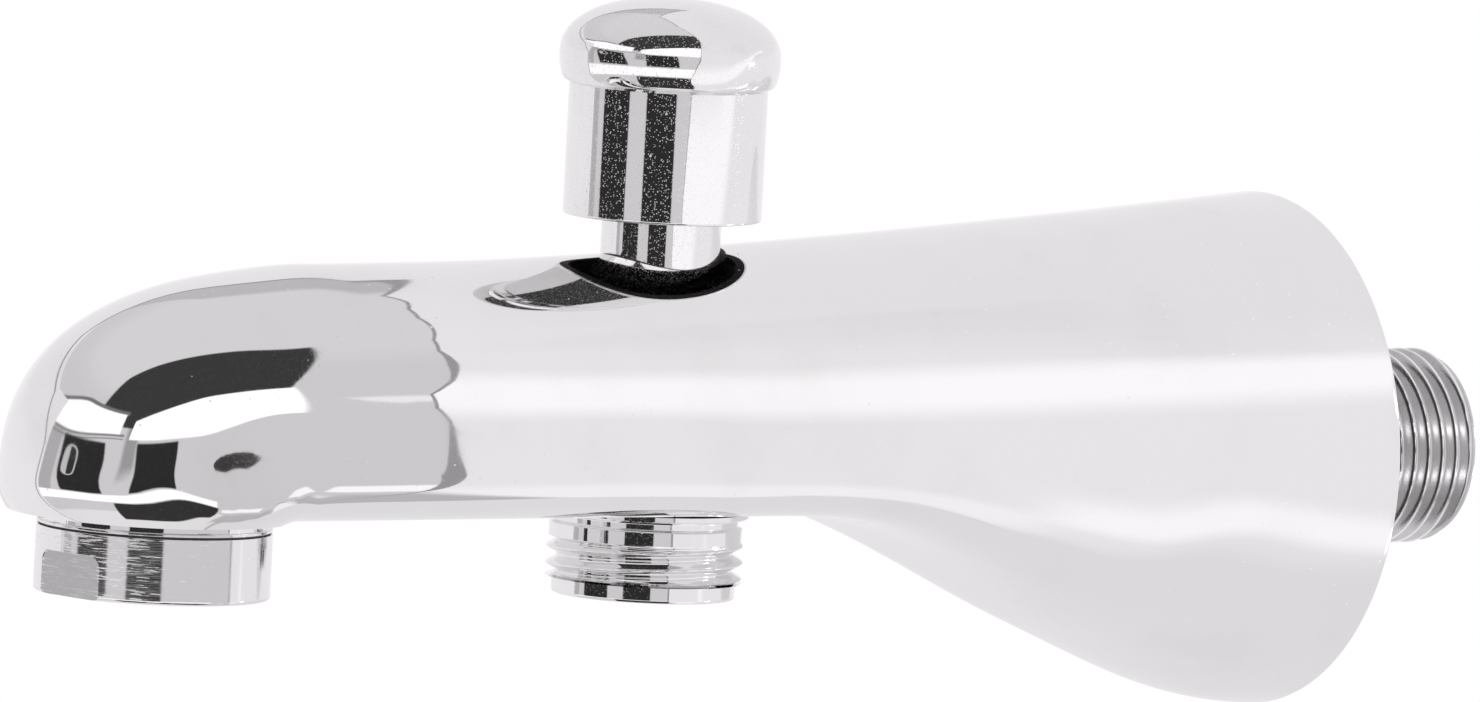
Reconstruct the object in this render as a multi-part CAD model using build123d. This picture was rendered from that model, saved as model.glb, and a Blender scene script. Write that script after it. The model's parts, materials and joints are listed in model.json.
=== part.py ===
from build123d import *
from math import atan2, cos, hypot, pi, radians, sin, sqrt, tan
import os

os.makedirs("parts", exist_ok=True)

# Bath spout with a pull-up diverter, lengths in millimetres.
# The origin is the middle of the wall face, X points into the wall, Z points up.

# Main form
reach = 140.5  # wall face to the middle of the outlet
setback = 62.1  # outlet axis back to the diverter axis
base_radius = 27.5  # round base on the wall
base_edge = 1.0  # rounding of the base edge
neck_half_width = 17.0
neck_height = 20.5  # top of the neck above the inlet axis, behind the nose
shoulder_height = 5.0  # widest level of the neck above the inlet axis
underside_drop = 5.75  # flat underside below the inlet axis
nose_radius = 16.65  # front of the nose seen from above
nose_length = 48.2  # length of the falling curve of the nose
nose_edge = 4.2  # rounding of the lower edge of the nose
nose_edge_turn = 45.0  # degrees of that rounding above the flat underside
side_flare = 90.0  # length over which the sides open out to the base
underside_flare = 65.2  # length over which the underside falls to the base
wall = 3.0  # thickness of the casting

# Character of the curves
nose_fullness = 3.38
nose_squareness = 2.98
top_curve = 1.435
side_curve = 1.45
neck_corner = 5.0  # high value gives tight lower corners
round_corner = 2.0  # a plain ellipse
cheek_hollow = 2.5  # how far the nose is drawn in between top and front
corner_fade = 1.2  # how early the lower corners melt into the round base
edge_fade = 1.6  # how early the lower edge of the nose reaches its full rounding
elbow = 3.25  # height of the fan line below the underside
fan_share = 0.63  # place of the fan line behind the outlet axis, in nose radii
nose_places = (1.0, 0.995, 0.98, 0.95, 0.9, 0.82, 0.72, 0.45, 0.25, 0.0)
neck_spacing = 9.0
section_points = 48

# Inlet thread as rings at the true pitch, hose thread as a plain cylinder at the crest
pipe_thread = 20.955 / 2  # crest of a half inch pipe thread
thread_pitch = 1.814
thread_depth = 1.16
thread_flat = thread_pitch / 6  # flat crest and flat root
thread_end = 1.2  # bevel at the end of a thread

# Fits
screw_gap = 0.06
slide_gap = 0.06
rim_gap = 0.3
over = 1.0  # how far a cut runs past a face
bevel = 0.3  # broken edges

# Inlet
nipple_stand_out = 22.0  # beyond the wall face
nipple_plain = 1.5  # plain tube beyond the wall face, before the thread
nipple_bore = 6.5
nipple_screw = 9.0  # thread of the end in the casting
nipple_key = 7.4  # corner radius of the hexagon socket
nipple_key_depth = 9.0
boss_radius = 13.5
boss_recess = 8.0  # wall face to the mouth of the boss
socket_depth = 16.0
socket_seal = 1.5
feed_bore = 7.0
dry_depth = 34.0  # dry hollow behind the base

# Hose outlet
collar_radius = 10.9
collar = 0.6
hose_thread_length = 8.7
hose_relief = 1.3
spigot_radius = 8.5
spigot_length = 5.0
hose_chamber = 7.4
hose_bore = 4.9
seat_drop = 2.55  # lower valve seat below the underside
hose_seal_radius = 10.3
hose_seal_thickness = 1.0

# Diverter
lift = 7.0  # travel of the knob
shaft_bore = 7.0  # upright bore from the top
valve_chamber = 8.0
washer_radius = 6.3
washer_thickness = 1.5
plug_thickness = 1.3
seat_ring = 2.2
port_radius = 4.6
window_height = 3.3
window_width = 6.0
cage_relief = 0.9
gland = 4.0
guide_length = 2.0
guide_radius = 4.3
guide_slot = 1.2
spindle_radius = 3.0
journal_radius = 2.0
stud_radius = 2.5
stud_length = 10.0
flange_radius = 4.0
flange_thickness = 0.8
nut_radius = 3.6
nut_height = 2.2
ring_width = 1.4  # sealing rings in grooves
ring_depth = 1.1
ring_round = 0.4
land = 0.5  # metal left beside a groove
hub_radius = 3.2
end_play = 0.05
gallery_width = 11.0
gallery_height = 3.0
spring_wire = 0.35
spring_radius = 3.75
spring_turns = 6.0

# Knob
stem_radius = 6.35
stem_gap = 0.4  # stem above the bonnet when down
stem_hollow = 4.9
skirt_gap = 3.6  # skirt above the neck when down
skirt_radius = 10.55
skirt_wall = 1.3
skirt_height = 14.2
cap_radius = 11.75
cap_lip = 10.95
cap_lower = 2.9  # lip up to the widest level
cap_crown = 6.15  # widest level up to the top
cap_corner = 2.2
cap_roof = 4.5  # metal above the hollow
cap_points = 9

# Aerator
aerator_radius = 12.45
aerator_height = 7.6
aerator_seat = 0.85  # boss under the nose
aerator_seat_radius = 12.0
aerator_thread = 11.0
aerator_screw_in = 5.3
aerator_bore = 9.8
aerator_mouth = 8.9
aerator_lip = 1.2
aerator_edge = 0.5
flat_reach = 11.6  # axis to a spanner flat
flat_height = 4.7
flat_width = 9.0
flat_corner = 1.4
flat_turn = 9.0  # degrees
washer_ring = 1.6
washer_inner = 8.9
ledge_bore = 8.6
ledge_height = 1.5
screen_thickness = 0.6
strainer_flange = 0.6
strainer_dome = 1.7
strainer_shell = 0.5
strainer_radius = 8.3
insert_gap = 0.1
insert_wall = 0.9
insert_plate = 2.0
insert_hole = 0.9
insert_rings = ((1, 0.0), (6, 2.9), (12, 5.8))
screen_rings = ((1, 0.0), (6, 2.6), (12, 5.2), (18, 7.7))
screen_hole = 0.8

# Places that follow from the sizes
outlet_x = -reach
diverter_x = outlet_x + setback
underside = -underside_drop
nose_tip = outlet_x - nose_radius
crown_x = nose_tip + nose_length
fan_x = outlet_x + fan_share * nose_radius
fan_z = underside - elbow
edge_height = nose_edge * sin(radians(nose_edge_turn))
edge_from = underside + edge_height
thread_root = pipe_thread - thread_depth
even_spacing = [i / section_points for i in range(section_points + 1)]


def clipped(value):
    return min(1.0, max(0.0, value))


def top_line(x):
    """Height of the top line of the spout."""
    if x < crown_x:
        ahead = clipped((crown_x - x) / nose_length)
        fall = (1 - ahead**nose_fullness) ** (1 / nose_squareness)
        return fan_z + (neck_height - fan_z) * fall
    return neck_height + (base_radius - neck_height) * clipped(1 - x / crown_x) ** top_curve


def bottom_share(x):
    """Share of the fall of the underside, from 0 at the neck to 1 at the wall."""
    return 0.5 - 0.5 * cos(pi * clipped(1 + x / underside_flare))


def edge_inset(level):
    """How far the nose is drawn in at a level by the rounding of its lower edge."""
    below = edge_from - level
    if below <= 0:
        return 0.0
    rounded = min(below, edge_height)
    past = below - rounded
    return nose_edge - sqrt(nose_edge**2 - rounded**2) + past * tan(radians(nose_edge_turn))


def outline_point(angle, half_width, bottom, side, top, corner):
    """Point of a section: an arch above the widest level, a box with round corners below."""
    across, up = cos(angle), sin(angle)
    power = round_corner if up >= 0 else corner
    height = top - side if up >= 0 else side - bottom
    size = (abs(across / half_width) ** power + abs(up / height) ** power) ** (-1 / power)
    return size * across, side + size * up


def section_angles():
    return [2 * pi * share - pi / 2 for share in even_spacing[:-1]]


def closed_curve(points):
    """Smooth closed wire with the same spacing in every section."""
    return Wire([Edge.make_spline(points, periodic=True, parameters=even_spacing)])


def upright_section(x, inset):
    """Section of the neck and base, square to the inlet axis."""
    opened = clipped(1 + x / side_flare)
    fallen = bottom_share(x)
    half_width = neck_half_width + (base_radius - neck_half_width) * opened**side_curve - inset
    bottom = underside - (base_radius - underside_drop) * fallen + inset
    side = shoulder_height * (1 - opened)
    top = top_line(x) - inset
    corner = neck_corner - (neck_corner - round_corner) * clipped(corner_fade * fallen)
    points = []
    for angle in section_angles():
        y, z = outline_point(angle, half_width, bottom, side, top, corner)
        points.append((x, y, z))
    return closed_curve(points)


def fan_section(place, inset):
    """Section of the nose, tilted about the fan line until it lies level at the tip."""
    x = fan_x + (nose_tip - fan_x) * place
    ahead, above = fan_x - x, top_line(x) - fan_z
    tilt = atan2(ahead, above)
    turned = tilt / (pi / 2)
    neck_arch = top_line(fan_x) - shoulder_height
    arch = neck_arch + (nose_radius - neck_arch) * turned - cheek_hollow * sin(pi * turned)
    half_width = neck_half_width + (nose_radius - neck_half_width) * turned
    top = hypot(ahead, above)
    points = []
    for angle in section_angles():
        y, u = outline_point(angle, half_width, elbow, top - arch, top, neck_corner)
        drawn_in = inset + edge_inset(fan_z + u * cos(tilt)) * clipped(edge_fade * turned)
        sizes = (half_width - drawn_in, elbow + inset, top - arch, top - drawn_in)
        y, u = outline_point(angle, *sizes, neck_corner)
        points.append((fan_x - u * sin(tilt), y, fan_z + u * cos(tilt)))
    return closed_curve(points)


def upright_sections(start, end, inset):
    steps = max(2, round((end - start) / neck_spacing))
    return [upright_section(start + (end - start) * i / steps, inset) for i in range(steps + 1)]


def slab(x0, x1, y0, y1, z0, z1):
    """Block between two corners."""
    middle = Pos((x0 + x1) / 2, (y0 + y1) / 2, (z0 + z1) / 2)
    return middle * Box(x1 - x0, y1 - y0, z1 - z0)


def upright(radius, z0, z1, x=0.0):
    """Upright cylinder between two levels."""
    return Pos(x, 0, (z0 + z1) / 2) * Cylinder(radius, z1 - z0)


def along(radius, x0, x1):
    """Cylinder along the inlet axis."""
    return Pos((x0 + x1) / 2, 0, 0) * Rot(0, 90, 0) * Cylinder(radius, x1 - x0)


def turned_upright(points, x=0.0):
    """Turned piece from (radius, level) points."""
    return Pos(x, 0, 0) * revolve(make_face(Plane.XZ * Polyline(*points, close=True)), Axis.Z)


def turned_along(points):
    """Turned piece from (distance, radius) points about the inlet axis."""
    return revolve(make_face(Polyline(*points, close=True)), Axis.X)


def thread_ridges(start, end):
    """Places along a thread and their radii, ending on a crest."""
    flank = thread_pitch / 2 - thread_flat
    count = int((end - start - thread_flat) / thread_pitch)
    ridges = [(end, pipe_thread)]
    for i in range(count):
        crest = end - thread_flat - i * thread_pitch
        ridges.append((crest, pipe_thread))
        ridges.append((crest - flank, thread_root))
        ridges.append((crest - flank - thread_flat, thread_root))
        ridges.append((crest - 2 * flank - thread_flat, pipe_thread))
    return ridges[::-1]


def seal_ring(inner, outer, z0, z1, x=0.0):
    """Ring with rounded edges."""
    middle = Plane.XZ * Pos((inner + outer) / 2, (z0 + z1) / 2)
    face = middle * RectangleRounded(outer - inner, z1 - z0, ring_round)
    return Pos(x, 0, 0) * revolve(face, Axis.Z)


def hole_ring(rings, radius, z0, z1, x):
    """Pattern of round holes in rings."""
    holes = Part()
    for count, place in rings:
        for spot in PolarLocations(place, count):
            holes += Pos(x, 0, (z0 + z1) / 2) * spot * Cylinder(radius, z1 - z0)
    return holes


def save(name, shape):
    shape.label = name
    export_step(shape, f"parts/{name}.step")


# Casting: outer form
nose_sections = [fan_section(place, 0.0) for place in nose_places]
neck_sections = upright_sections(fan_x, 0.0, 0.0)
outer = Solid.make_loft(nose_sections + neck_sections[1:])
body = Part() + outer
body -= slab(nose_tip - over, fan_x, -base_radius, base_radius, fan_z - over, underside)

# Casting: levels of the upright bore
collar_bottom = underside - collar
spigot_top = underside + spigot_length
seat_level = underside - seat_drop
stack = 2 * washer_thickness + plug_thickness
stack_top = seat_level + stack
upper_seat = stack_top + lift
windows_from = upper_seat + seat_ring
windows_to = windows_from + window_height
gland_top = windows_to + gland
guide_top = gland_top + guide_length
neck_top = top_line(diverter_x)
shaft_block = shaft_bore + wall

# Casting: pads under the neck and the nose
aerator_face = underside - aerator_seat
ledge_low = aerator_face + aerator_screw_in + washer_ring
ledge_top = ledge_low + ledge_height
body += upright(collar_radius + rim_gap, underside, underside + wall, diverter_x)
body -= upright(collar_radius + rim_gap, underside - over, underside, diverter_x)
body += upright(aerator_seat_radius, aerator_face, underside + wall, outlet_x)
edge_inner = base_radius - base_edge
edge_outer = base_radius + over
edge_lines = Polyline(
    (-base_edge, base_radius),
    (-base_edge, edge_outer),
    (over, edge_outer),
    (over, edge_inner),
    (0, edge_inner),
)
edge_arc = RadiusArc((0, edge_inner), (-base_edge, base_radius), -base_edge)
edge_corner = make_face(edge_lines + edge_arc)
body -= revolve(edge_corner, Axis.X)

# Casting: upright bore for the diverter
room_top = upper_seat - land
waterway = upright(shaft_bore, room_top - over, neck_top + over, diverter_x)
waterway += upright(valve_chamber, spigot_top - over, room_top, diverter_x)
waterway += upright(spigot_radius, underside - over, spigot_top, diverter_x)
waterway += upright(hose_seal_radius, underside - over, underside + hose_seal_thickness, diverter_x)

# Casting: water chamber of the nose and socket of the aerator
front_end = diverter_x - shaft_block
front_fan = [fan_section(place, wall) for place in nose_places]
front_neck = upright_sections(fan_x, front_end, wall)
front_room = Part() + Solid.make_loft(front_fan + front_neck[1:])
socket_edge = outlet_x + aerator_thread + wall
front_room -= slab(nose_tip, socket_edge, -base_radius, base_radius, fan_z - over, ledge_top)
waterway += front_room
waterway += upright(ledge_bore, ledge_low - over, ledge_top + over, outlet_x)
waterway += upright(aerator_thread + screw_gap, aerator_face - over, ledge_low, outlet_x)

# Casting: water chamber of the base, feed bore and inlet socket
wet_from = diverter_x + shaft_block
wet_to = -dry_depth - wall
socket_floor = -boss_recess - socket_depth
waterway += Part() + Solid.make_loft(upright_sections(wet_from, wet_to, wall))
waterway += along(feed_bore, wet_to - over, socket_floor + over)
waterway += along(nipple_screw, socket_floor, -boss_recess + over)

# Casting: ports from the upright bore to both chambers
feed_level = (spigot_top + room_top) / 2
out_level = (windows_from + windows_to) / 2
half_port = gallery_width / 2
feed_low = feed_level - gallery_height / 2
out_low = out_level - gallery_height / 2
waterway += slab(diverter_x, wet_from + over, -half_port, half_port, feed_low, feed_low + gallery_height)
waterway += slab(front_end - over, diverter_x, -half_port, half_port, out_low, out_low + gallery_height)

# Casting: dry hollow at the wall, round the inlet boss
dry = Part() + Solid.make_loft(upright_sections(-dry_depth, over, wall))
dry -= along(boss_radius, -dry_depth - over, -boss_recess)
body -= waterway
body -= dry
save("spout_body", body)

# Inlet nipple and its seal
nipple_in = socket_floor + socket_seal
screwed = nipple_screw - screw_gap
nipple_points = [
    (nipple_in, nipple_bore),
    (nipple_in, screwed - thread_end),
    (nipple_in + thread_end, screwed),
    (-boss_recess, screwed),
    (-boss_recess, pipe_thread),
    *thread_ridges(nipple_plain, nipple_stand_out - thread_end),
    (nipple_stand_out, pipe_thread - thread_end),
    (nipple_stand_out, nipple_bore),
]
nipple = turned_along(nipple_points)
key = Plane.YZ.offset(nipple_stand_out) * RegularPolygon(nipple_key, 6)
nipple -= extrude(key, -nipple_key_depth)
save("inlet_nipple", nipple)
seal_points = [
    (socket_floor, feed_bore),
    (socket_floor, screwed),
    (nipple_in, screwed),
    (nipple_in, feed_bore),
]
save("inlet_seal", turned_along(seal_points))

# Hose nipple and its seal
hose_end = collar_bottom - hose_thread_length
screwed_spigot = spigot_radius - screw_gap
hose_points = [
    (hose_chamber, spigot_top),
    (screwed_spigot, spigot_top),
    (screwed_spigot, underside),
    (collar_radius, underside),
    (collar_radius, collar_bottom),
    (thread_root, collar_bottom),
    (thread_root, collar_bottom - hose_relief / 2),
    (pipe_thread, collar_bottom - hose_relief),
    (pipe_thread, hose_end + thread_end),
    (pipe_thread - thread_end, hose_end),
    (hose_bore, hose_end),
    (hose_bore, seat_level),
    (hose_chamber, seat_level),
]
save("hose_nipple", turned_upright(hose_points, diverter_x))
hose_seal_top = underside + hose_seal_thickness
save("hose_seal", seal_ring(spigot_radius, hose_seal_radius, underside, hose_seal_top, diverter_x))

# Bonnet: seat ring, cage with windows, gland and guide
cage = shaft_bore - screw_gap
groove = cage - ring_depth
seat_groove = upper_seat + land
top_groove = windows_to + land
spindle_groove = spindle_radius + slide_gap + ring_depth
guide_bore = spindle_radius + slide_gap
bonnet_points = [
    (port_radius, upper_seat),
    (cage, upper_seat),
    (cage, seat_groove),
    (groove, seat_groove),
    (groove, seat_groove + ring_width),
    (cage, seat_groove + ring_width),
    (cage, windows_from),
    (cage - cage_relief, windows_from),
    (cage - cage_relief, windows_to),
    (cage, windows_to),
    (cage, top_groove),
    (groove, top_groove),
    (groove, top_groove + ring_width),
    (cage, top_groove + ring_width),
    (cage, gland_top),
    (guide_radius, gland_top),
    (guide_radius, guide_top),
    (guide_bore, guide_top),
    (guide_bore, gland_top),
    (spindle_groove, gland_top),
    (spindle_groove, gland_top - ring_width),
    (guide_bore, gland_top - ring_width),
    (guide_bore, windows_to),
    (port_radius, windows_to),
]
bonnet = turned_upright(bonnet_points)
half_window = window_width / 2
bonnet -= slab(-shaft_bore, shaft_bore, -half_window, half_window, windows_from, windows_to)
bonnet -= slab(-half_window, half_window, -shaft_bore, shaft_bore, windows_from, windows_to)
half_slot = guide_slot / 2
slot_low = guide_top - guide_slot
bonnet -= slab(-shaft_bore, shaft_bore, -half_slot, half_slot, slot_low, guide_top + over)
save("diverter_bonnet", Pos(diverter_x, 0, 0) * bonnet)
save("bonnet_seat_seal", seal_ring(groove, shaft_bore, seat_groove, seat_groove + ring_width, diverter_x))
save("bonnet_top_seal", seal_ring(groove, shaft_bore, top_groove, top_groove + ring_width, diverter_x))
seal_bore = spindle_radius + slide_gap / 2
save("spindle_seal", seal_ring(seal_bore, spindle_groove, gland_top - ring_width, gland_top, diverter_x))

# Valve plug between two washers
disc_low = seat_level + washer_thickness
disc_top = disc_low + plug_thickness
plug_bore = journal_radius + slide_gap
plug_points = [
    (plug_bore, seat_level),
    (hub_radius, seat_level),
    (hub_radius, disc_low),
    (washer_radius, disc_low),
    (washer_radius, disc_top),
    (hub_radius, disc_top),
    (hub_radius, stack_top),
    (plug_bore, stack_top),
]
save("valve_plug", turned_upright(plug_points, diverter_x))
save("plug_bottom_washer", seal_ring(hub_radius, washer_radius, seat_level, disc_low, diverter_x))
save("plug_top_washer", seal_ring(hub_radius, washer_radius, disc_top, stack_top, diverter_x))

# Spindle, nut and return spring
skirt_bottom = neck_top + skirt_gap
hollow_top = skirt_bottom - wall
flange_low = stack_top + end_play
flange_top = flange_low + flange_thickness
nut_top = seat_level - end_play
nut_low = nut_top - nut_height
spindle_points = [
    (0, nut_low),
    (journal_radius, nut_low),
    (journal_radius, flange_low),
    (flange_radius, flange_low),
    (flange_radius, flange_top),
    (spindle_radius, flange_top),
    (spindle_radius, hollow_top),
    (stud_radius, hollow_top),
    (stud_radius, hollow_top + stud_length),
    (0, hollow_top + stud_length),
]
save("diverter_spindle", turned_upright(spindle_points, diverter_x))
nut = extrude(Plane.XY.offset(nut_low) * RegularPolygon(nut_radius, 6), nut_height)
nut -= upright(journal_radius, nut_low - over, nut_top + over)
save("plug_nut", Pos(diverter_x, 0, 0) * nut)
spring_low = flange_top + spring_wire + end_play
spring_high = windows_to - spring_wire - end_play
spring_rise = spring_high - spring_low
coil = Helix(spring_rise / spring_turns, spring_rise, spring_radius, (0, 0, spring_low))
wire_end = Plane(coil @ 0, z_dir=coil % 0) * Circle(spring_wire)
save("return_spring", Pos(diverter_x, 0, 0) * sweep(wire_end, coil))

# Knob: stem, hollow skirt and domed cap in one piece
stem_bottom = gland_top + stem_gap
skirt_inner = skirt_radius - skirt_wall
cap_base = skirt_bottom + skirt_height
cap_widest = cap_base + cap_lower
cap_top = cap_widest + cap_crown
roof = cap_top - cap_roof
stud_hole = stud_radius + screw_gap
stud_top = hollow_top + stud_length + over
crown = []
for i in range(1, cap_points):
    angle = pi / 2 * i / cap_points
    out = cap_radius * cos(angle) ** (2 / cap_corner)
    crown.append((out, cap_widest + cap_crown * sin(angle) ** (2 / cap_corner)))
dome_points = [(cap_lip, cap_base), (cap_radius, cap_widest)] + crown + [(0, cap_top)]
dome = Spline(*dome_points, tangents=((1, 1), (-1, 0)))
knob_points = [
    (0, cap_top),
    (0, stud_top),
    (stud_hole, stud_top),
    (stud_hole, hollow_top),
    (stem_hollow, hollow_top),
    (stem_hollow, stem_bottom),
    (stem_radius - bevel, stem_bottom),
    (stem_radius, stem_bottom + bevel),
    (stem_radius, roof),
    (skirt_inner, roof),
    (skirt_inner, skirt_bottom),
    (skirt_radius - bevel, skirt_bottom),
    (skirt_radius, skirt_bottom + bevel),
    (skirt_radius, cap_base),
    (cap_lip, cap_base),
]
knob_face = make_face(Plane.XZ * (Polyline(*knob_points) + dome))
save("diverter_knob", Pos(diverter_x, 0, 0) * revolve(knob_face, Axis.Z))

# Aerator shell with a pair of spanner flats
shell_top = aerator_face + aerator_screw_in
shell_low = aerator_face - aerator_height
shell_floor = shell_low + aerator_lip
shell_points = [
    (aerator_bore, shell_top),
    (aerator_thread - bevel, shell_top),
    (aerator_thread, shell_top - bevel),
    (aerator_thread, aerator_face),
    (aerator_radius - bevel, aerator_face),
    (aerator_radius, aerator_face - bevel),
    (aerator_radius, shell_low + aerator_edge),
    (aerator_radius - aerator_edge, shell_low),
    (aerator_mouth, shell_low),
    (aerator_mouth, shell_floor),
    (aerator_bore, shell_floor),
]
shell = turned_upright(shell_points)
for turn in (flat_turn, flat_turn + 180):
    seat = Rot(0, 0, turn) * Plane.YZ.offset(flat_reach) * Pos(0, shell_low)
    shell -= extrude(seat * RectangleRounded(flat_width, 2 * flat_height, flat_corner), aerator_radius)
save("aerator_shell", Pos(outlet_x, 0, 0) * shell)

# Aerator insides, from the outlet up
insert_radius = aerator_bore - insert_gap
screen_top = shell_floor + screen_thickness
screen = upright(insert_radius, shell_floor, screen_top, outlet_x)
screen -= hole_ring(screen_rings, screen_hole, shell_floor - over, screen_top + over, outlet_x)
save("aerator_screen", screen)
insert_top = shell_top - strainer_flange
insert = upright(insert_radius, screen_top, insert_top, outlet_x)
hollow = insert_radius - insert_wall
insert -= upright(hollow, screen_top + insert_plate, insert_top - insert_plate, outlet_x)
insert -= hole_ring(insert_rings, insert_hole, screen_top - over, insert_top + over, outlet_x)
save("aerator_cartridge", insert)
sieve_top = shell_top + strainer_dome
sieve_lines = Polyline(
    (0, sieve_top),
    (0, sieve_top - strainer_shell),
    (strainer_radius - strainer_shell, insert_top),
    (insert_radius, insert_top),
    (insert_radius, shell_top),
    (strainer_radius, shell_top),
    close=True,
)
strainer = Pos(outlet_x, 0, 0) * revolve(make_face(Plane.XZ * sieve_lines), Axis.Z)
strainer -= hole_ring(insert_rings, insert_hole, insert_top - over, sieve_top + over, outlet_x)
save("aerator_strainer", strainer)
save("aerator_washer", seal_ring(washer_inner, aerator_thread, shell_top, ledge_low, outlet_x))
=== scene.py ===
import json
import math

import bmesh
import bpy
import numpy as np
from mathutils import Matrix, Vector
from mathutils.bvhtree import BVHTree


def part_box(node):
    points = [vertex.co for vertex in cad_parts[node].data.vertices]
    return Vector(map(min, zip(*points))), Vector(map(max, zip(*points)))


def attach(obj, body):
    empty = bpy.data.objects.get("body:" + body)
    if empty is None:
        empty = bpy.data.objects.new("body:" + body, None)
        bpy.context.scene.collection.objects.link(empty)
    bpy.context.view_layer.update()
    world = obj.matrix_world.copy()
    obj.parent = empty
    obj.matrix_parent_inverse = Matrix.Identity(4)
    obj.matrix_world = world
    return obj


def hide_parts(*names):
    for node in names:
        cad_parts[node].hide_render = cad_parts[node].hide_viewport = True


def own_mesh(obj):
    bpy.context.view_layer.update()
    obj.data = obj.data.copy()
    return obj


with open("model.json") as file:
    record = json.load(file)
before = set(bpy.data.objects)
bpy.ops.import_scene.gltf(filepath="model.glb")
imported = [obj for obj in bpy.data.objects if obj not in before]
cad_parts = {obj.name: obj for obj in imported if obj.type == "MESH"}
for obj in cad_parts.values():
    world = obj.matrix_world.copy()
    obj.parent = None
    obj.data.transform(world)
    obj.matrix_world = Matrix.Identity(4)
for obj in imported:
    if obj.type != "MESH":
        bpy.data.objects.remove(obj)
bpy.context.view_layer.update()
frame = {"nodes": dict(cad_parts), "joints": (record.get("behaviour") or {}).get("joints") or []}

# Chrome bath spout with a pull-up diverter. Lengths are in millimetres, in finishes in metres.
MM = 0.001


def box_of(node):
    """Lowest and highest corner of a solid, in millimetres."""
    low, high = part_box(node)
    return np.array(low) / MM, np.array(high) / MM


shell_low, shell_high = box_of("aerator_shell")
knob_low, knob_high = box_of("diverter_knob")
hose_low, hose_high = box_of("hose_nipple")
inlet_low, inlet_high = box_of("inlet_nipple")

# Outer form of the casting
outlet_x = (shell_low[0] + shell_high[0]) / 2
diverter_x = (knob_low[0] + knob_high[0]) / 2
base_radius = 27.5
base_edge = 1.0
neck_half_width = 17.0
neck_height = 20.5
shoulder_height = 5.0
underside = -5.75
nose_radius = 16.65
nose_length = 48.2
nose_edge = 4.2
nose_edge_turn = math.radians(45)
side_flare = 90.0
underside_flare = 65.2
wall = 3.0
nose_fullness = 3.38
nose_squareness = 2.98
top_curve = 1.435
side_curve = 1.45
neck_corner = 5.0
round_corner = 2.0
cheek_hollow = 2.5
corner_fade = 1.2
edge_fade = 1.6
elbow = 3.25
fan_share = 0.63
nose_places = (1.0, 0.995, 0.98, 0.95, 0.9, 0.82, 0.72, 0.45, 0.25, 0.0)
neck_spacing = 9.0
nose_tip = outlet_x - nose_radius
crown_x = nose_tip + nose_length
fan_x = outlet_x + fan_share * nose_radius
fan_z = underside - elbow
edge_height = nose_edge * math.sin(nose_edge_turn)

# Rooms and bores of the casting
over = 1.0
shaft_bore = 7.0
valve_chamber = 8.0
spigot_radius = 8.5
hose_seal_radius = 10.3
hose_seal_height = 1.0
spigot_height = 5.0
room_top = 2.5
aerator_seat_radius = 12.0
aerator_face = underside - 0.85
aerator_thread = 11.06
ledge_bore = 8.6
ledge_low = aerator_face + 6.9
ledge_top = ledge_low + 1.5
boss_radius = 13.5
boss_recess = 8.0
nipple_screw = 9.0
feed_bore = 7.0
socket_floor = -24.0
dry_depth = 34.0

# Aerator: its radius, the turn of its spanner flats, and the groove under its rim
aerator_radius = 12.45
flat_turn = math.radians(9.0)
groove_level = aerator_face - 0.5
groove_half = 0.13

# Threads
pipe_thread = 20.955 / 2
thread_pitch = 1.814
thread_depth = 1.16
thread_end = 1.2
screw_gap = 0.06

# Sides of the round cutting forms
tool_segments = 96


def clipped(value):
    return min(1.0, max(0.0, value))


def top_line(x):
    """Height of the top line of the spout."""
    if x < crown_x:
        ahead = clipped((crown_x - x) / nose_length)
        fall = (1 - ahead**nose_fullness) ** (1 / nose_squareness)
        return fan_z + (neck_height - fan_z) * fall
    return neck_height + (base_radius - neck_height) * clipped(1 - x / crown_x) ** top_curve


def edge_inset(level):
    """How far the nose is drawn in at each level by its rounded lower edge."""
    below = np.maximum(0, underside + edge_height - level)
    rounded = np.minimum(below, edge_height)
    slope = math.tan(nose_edge_turn)
    return nose_edge - np.sqrt(nose_edge**2 - rounded**2) + (below - rounded) * slope


def outline(angles, half_width, bottom, side, top, corner):
    """Section: an arch above the widest level, a box with round corners below."""
    across, up = np.cos(angles), np.sin(angles)
    power = np.where(up >= 0, round_corner, corner)
    height = np.where(up >= 0, top - side, side - bottom)
    spread = np.abs(across / half_width) ** power + np.abs(up / height) ** power
    size = spread ** (-1 / power)
    return size * across, side + size * up


def upright_section(x, inset, angles):
    """Section of the neck and base, square to the inlet."""
    opened = clipped(1 + x / side_flare)
    fallen = 0.5 - 0.5 * math.cos(math.pi * clipped(1 + x / underside_flare))
    half_width = neck_half_width + (base_radius - neck_half_width) * opened**side_curve - inset
    bottom = underside - (base_radius + underside) * fallen + inset
    corner = neck_corner - (neck_corner - round_corner) * clipped(corner_fade * fallen)
    side = shoulder_height * (1 - opened)
    y, z = outline(angles, half_width, bottom, side, top_line(x) - inset, corner)
    return np.column_stack([np.full_like(y, x), y, z])


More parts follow.
